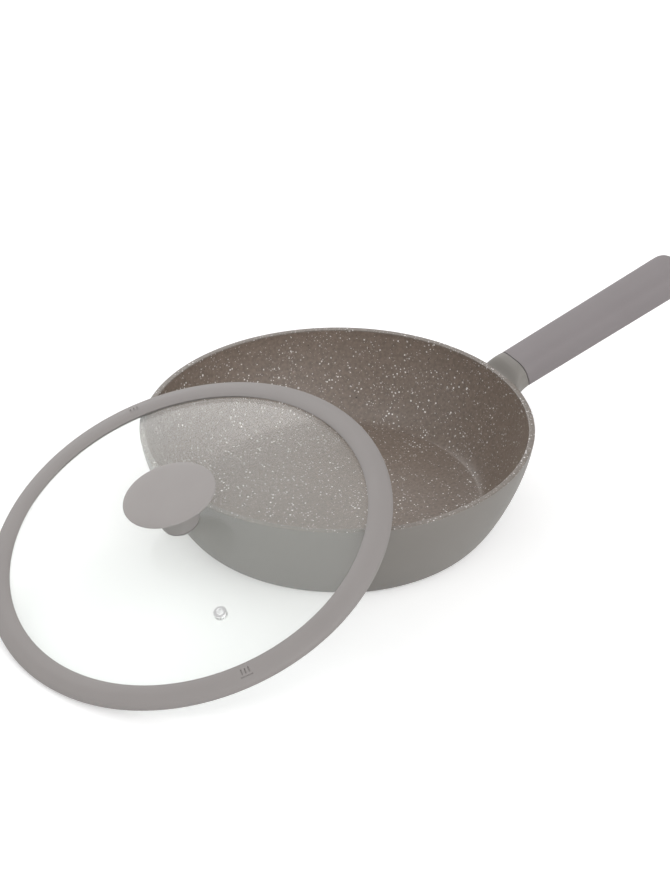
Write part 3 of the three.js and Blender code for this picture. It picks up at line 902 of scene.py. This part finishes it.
knob_foot = rounded([
    (knob_bore, knob_low, 0),
    (knob_neck, knob_low, knob_edge_round),
    (*neck_start, 0),
])[:-1]
knob_neck_line = through([
    neck_start,
    (knob_neck + knob_flare * 0.02, knob_low + neck_height * 0.28),
    (knob_neck + knob_flare * 0.12, knob_low + neck_height * 0.52),
    (knob_neck + knob_flare * 0.34, knob_low + neck_height * 0.74),
    (knob_neck + knob_flare * 0.68, knob_low + neck_height * 0.91),
    neck_end,
], count=32)
knob_rim = rounded([
    (*neck_end, 0),
    (knob_disc, disc_low, knob_edge_round),
    (knob_disc, knob_top - knob_shoulder_drop, knob_edge_round),
    (*knob_crown_point(knob_crown_share), 0),
])[1:-1]
crown_shares = (knob_crown_share, 0.94, 0.91, 0.88, 0.84, 0.8, 0.75, 0.7, 0.6, 0.5, 0.4, 0.2, 0.0)
knob_crown = [knob_crown_point(share) for share in crown_shares]
knob_outline = knob_foot + [tuple(point) for point in knob_neck_line] + knob_rim + knob_crown
knob_outline += [(0.0, knob_bore_top), (knob_bore, knob_bore_top)]
knob = turned("knob_body_moulding", knob_outline, knob_sides)
# The disc is stretched one way and narrowed the other, and the neck stays round
for corner in knob.data.vertices:
    share = (math.hypot(corner.co.x, corner.co.y) / millimetre - knob_neck) / knob_flare
    share = knob_oval * min(1.0, max(0.0, share))
    along = (corner.co.x * math.cos(knob_turn) + corner.co.y * math.sin(knob_turn)) * (1 + share)
    across = (corner.co.y * math.cos(knob_turn) - corner.co.x * math.sin(knob_turn)) * (1 - share)
    corner.co.x = along * math.cos(knob_turn) - across * math.sin(knob_turn)
    corner.co.y = along * math.sin(knob_turn) + across * math.cos(knob_turn)
knob_colour = linear(161, 156, 154)
knob_skin, tree, shader = new_finish("knob_skin", knob_colour, 0.55, Specular_IOR_Level=0.35)
mottled(tree, shader, knob_colour, patches=40.0, amount=0.02)
grain(tree, shader, waves=3000.0, height=0.00002)
knob.data.materials.append(knob_skin)
knob.data.transform(lid_frame)
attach(knob, "lid")
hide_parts("knob_body")

# Knob bush: a turned brass tube moulded into the foot of the knob, which takes the screw's thread.
# It isn't seen once the knob is on the lid.
insert_low = knob_low + seat_gap
insert_edge = 0.3
insert_sides = 48
insert_bore = lid_screw_radius + slide_gap
insert = turned("knob_insert_brass", rounded([
    (insert_bore, insert_low, insert_edge),
    (insert_radius, insert_low, insert_edge),
    (insert_radius, insert_low + insert_length, insert_edge),
    (insert_bore, insert_low + insert_length, insert_edge),
]), insert_sides)
bush_brass, tree, shader = new_finish("bush_brass", linear(212, 178, 104), 0.3, Metallic=1.0)
turned_lines(tree, shader, lines=3000.0, height=0.00001)
insert.data.materials.append(bush_brass)
insert.matrix_world = lid_frame
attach(insert, "lid")
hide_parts("knob_insert")

# Knob gaskets: two silicone washers, one between knob and glass and one under the glass.
# They keep plastic and steel off the glass.
gasket_edge = 0.2
gasket_sides = 96
gasket_radius = knob_neck - knob_edge_round
lid_washer_radius = 8.5
gasket_low = glass_under(lid_washer_radius) - seat_gap - gasket_thickness
gasket_top = turned("knob_gasket_top_silicone", rounded([
    (knob_hole_radius, glass_over(knob_hole_radius) + seat_gap, 0),
    (gasket_radius, glass_over(gasket_radius) + seat_gap, gasket_edge),
    (gasket_radius, gasket_top_high, gasket_edge),
    (knob_hole_radius, gasket_top_high, 0),
]), gasket_sides)
gasket_bottom = turned("knob_gasket_bottom_silicone", rounded([
    (knob_hole_radius, gasket_low, 0),
    (lid_washer_radius, gasket_low, gasket_edge),
    (lid_washer_radius, glass_under(lid_washer_radius) - seat_gap, gasket_edge),
    (knob_hole_radius, glass_under(knob_hole_radius) - seat_gap, 0),
]), gasket_sides)
gasket_colour = linear(128, 122, 119)
gasket_silicone, tree, shader = new_finish(
    "gasket_silicone",
    gasket_colour,
    0.6,
    Specular_IOR_Level=0.35,
)
mottled(tree, shader, gasket_colour, patches=60.0, amount=0.03)
grain(tree, shader, waves=3000.0, height=0.00002)
for piece, node in ((gasket_top, "knob_gasket_top"), (gasket_bottom, "knob_gasket_bottom")):
    piece.data.materials.append(gasket_silicone)
    piece.matrix_world = lid_frame
    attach(piece, "lid")
    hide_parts(node)

# Knob washer: a plated steel washer under the lower gasket, which spreads the pull of the screw
# over the glass.
lid_washer_thickness = 1.0
lid_washer_high = gasket_low - seat_gap
knob_washer = washer(
    "knob_washer_steel",
    insert_bore,
    lid_washer_radius,
    lid_washer_high - lid_washer_thickness,
    lid_washer_high,
)
knob_washer.matrix_world = lid_frame
knob_washer.data.materials.append(fixing_steel)
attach(knob_washer, "lid")
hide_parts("knob_washer")

# Knob screw: a plated steel cross-head screw. It comes up from below through washer, gaskets and glass
# into the bush, and draws the knob down.
lid_head_radius = 4.0
lid_head_height = 2.4
lid_head_top = lid_washer_high - lid_washer_thickness - seat_gap
bush_filled_share = 0.9
knob_screw = cross_head_screw(
    "knob_screw_steel",
    lid_screw_radius,
    insert_low + insert_length * bush_filled_share - lid_head_top,
    lid_head_radius,
    lid_head_height,
)
knob_screw.matrix_world = lid_frame @ Matrix.Translation((0.0, 0.0, lid_head_top * millimetre))
knob_screw.data.materials.append(fixing_steel)
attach(knob_screw, "lid")
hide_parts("knob_screw")

# Floor: a white sweep that the pan stands on, bright enough to read as paper white and still take a shadow.
# Camera, mirror and glass rays see it a little brighter than the tent's light makes it.
floor_half_size = 6.0
floor_drop = 0.0004
floor_lift = 0.38
paper_white = (0.82, 0.82, 0.82, 1.0)
floor_corners = [
    (-floor_half_size, -floor_half_size, 0.0),
    (floor_half_size, -floor_half_size, 0.0),
    (floor_half_size, floor_half_size, 0.0),
    (-floor_half_size, floor_half_size, 0.0),
]
floor_mesh = bpy.data.meshes.new("floor")
floor_mesh.from_pydata(floor_corners, [], [(0, 1, 2, 3)])
floor = bpy.data.objects.new("floor", floor_mesh)
floor.location.z = -floor_drop
bpy.context.scene.collection.objects.link(floor)
floor_white = bpy.data.materials.new("floor_white")
floor_white.use_nodes = True
tree = floor_white.node_tree
tree.nodes.clear()
path = added(tree, "ShaderNodeLightPath")
seen = worked(tree, "MAXIMUM", path.outputs["Is Camera Ray"], path.outputs["Is Glossy Ray"])
seen = worked(tree, "MAXIMUM", seen, path.outputs["Is Transmission Ray"])
lift = worked(tree, "MULTIPLY", seen, floor_lift)
glow = added(tree, "ShaderNodeEmission", [("Color", (1, 1, 1, 1)), ("Strength", lift)])
paper = added(tree, "ShaderNodeBsdfDiffuse", [("Color", paper_white)])
both = added(tree, "ShaderNodeAddShader", [(0, paper.outputs[0]), (1, glow.outputs[0])])
added(tree, "ShaderNodeOutputMaterial", [("Surface", both.outputs[0])])
floor_mesh.materials.append(floor_white)

# Light: an evenly lit white photo tent. Broad soft lights behind its cloth leave no edges to be mirrored.
# Each light has the way to it round the pan and up, how far it is full and how far it reaches,
# all in degrees, and its level.
tent_level = 0.47
tent_lights = {
    "behind": (90.0, 28.0, 6.0, 36.0, 1.9),
    "front": (-107.0, 42.0, 8.0, 42.0, 0.9),
    "front_right": (-60.0, 42.0, 8.0, 42.0, 1.15),
    "left": (-164.0, 44.0, 4.0, 16.0, 1.3),
    "left_low": (176.0, 16.0, 6.0, 26.0, 0.7),
}
world = bpy.data.worlds.new("white_tent")
bpy.context.scene.world = world
world.use_nodes = True
tree = world.node_tree
way = added(tree, "ShaderNodeTexCoord").outputs["Generated"]
level = tent_level
for angles in tent_lights.values():
    turn, rise, full, reach = [math.radians(angle) for angle in angles[:4]]
    strength = angles[4]
    aim = Matrix.Rotation(turn, 3, "Z") @ Matrix.Rotation(-rise, 3, "Y") @ Vector((1, 0, 0))
    near = added(tree, "ShaderNodeVectorMath", [(0, way), (1, aim)], operation="DOT_PRODUCT")
    share = spread(tree, near.outputs["Value"], math.cos(reach), math.cos(full), 0.0, strength, smooth=True)
    level = worked(tree, "ADD", level, share)
# The cloth is white to the camera, also straight through the glass. What is mirrored sees the lights.
path = added(tree, "ShaderNodeLightPath")
unmirrored = worked(tree, "LESS_THAN", path.outputs["Glossy Depth"], 0.5)
through_glass = worked(tree, "MULTIPLY", path.outputs["Is Transmission Ray"], unmirrored)
seen = worked(tree, "MAXIMUM", path.outputs["Is Camera Ray"], through_glass)
cloth = added(tree, "ShaderNodeMix", [(0, seen), (2, level), (3, 1.0)], data_type="FLOAT")
tent = tree.nodes["Background"]
tent.inputs["Color"].default_value = (1, 1, 1, 1)
tree.links.new(cloth.outputs[0], tent.inputs["Strength"])

# Camera: it stands where the photograph was taken from, to the front left and above the pan,
# with a long lens. Its place is in metres.
camera_lens = bpy.data.cameras.new("camera")
camera_lens.lens = 92.72
camera_lens.sensor_width = 36.0
camera_lens.clip_start = 0.01
camera_lens.clip_end = 50.0
camera = bpy.data.objects.new("camera", camera_lens)
camera_place = Vector((-0.70378, -1.20438, 0.92376))
camera_right = Vector((0.864110, -0.503303, 0.0))
camera_up = Vector((0.267286, 0.458898, 0.847332))
camera_back = Vector((-0.426465, -0.732188, 0.531064))
camera_axes = Matrix((camera_right, camera_up, camera_back)).transposed()
camera.matrix_world = Matrix.Translation(camera_place) @ camera_axes.to_4x4()
bpy.context.scene.collection.objects.link(camera)
bpy.context.scene.camera = camera
bpy.context.scene.view_settings.view_transform = "Standard"
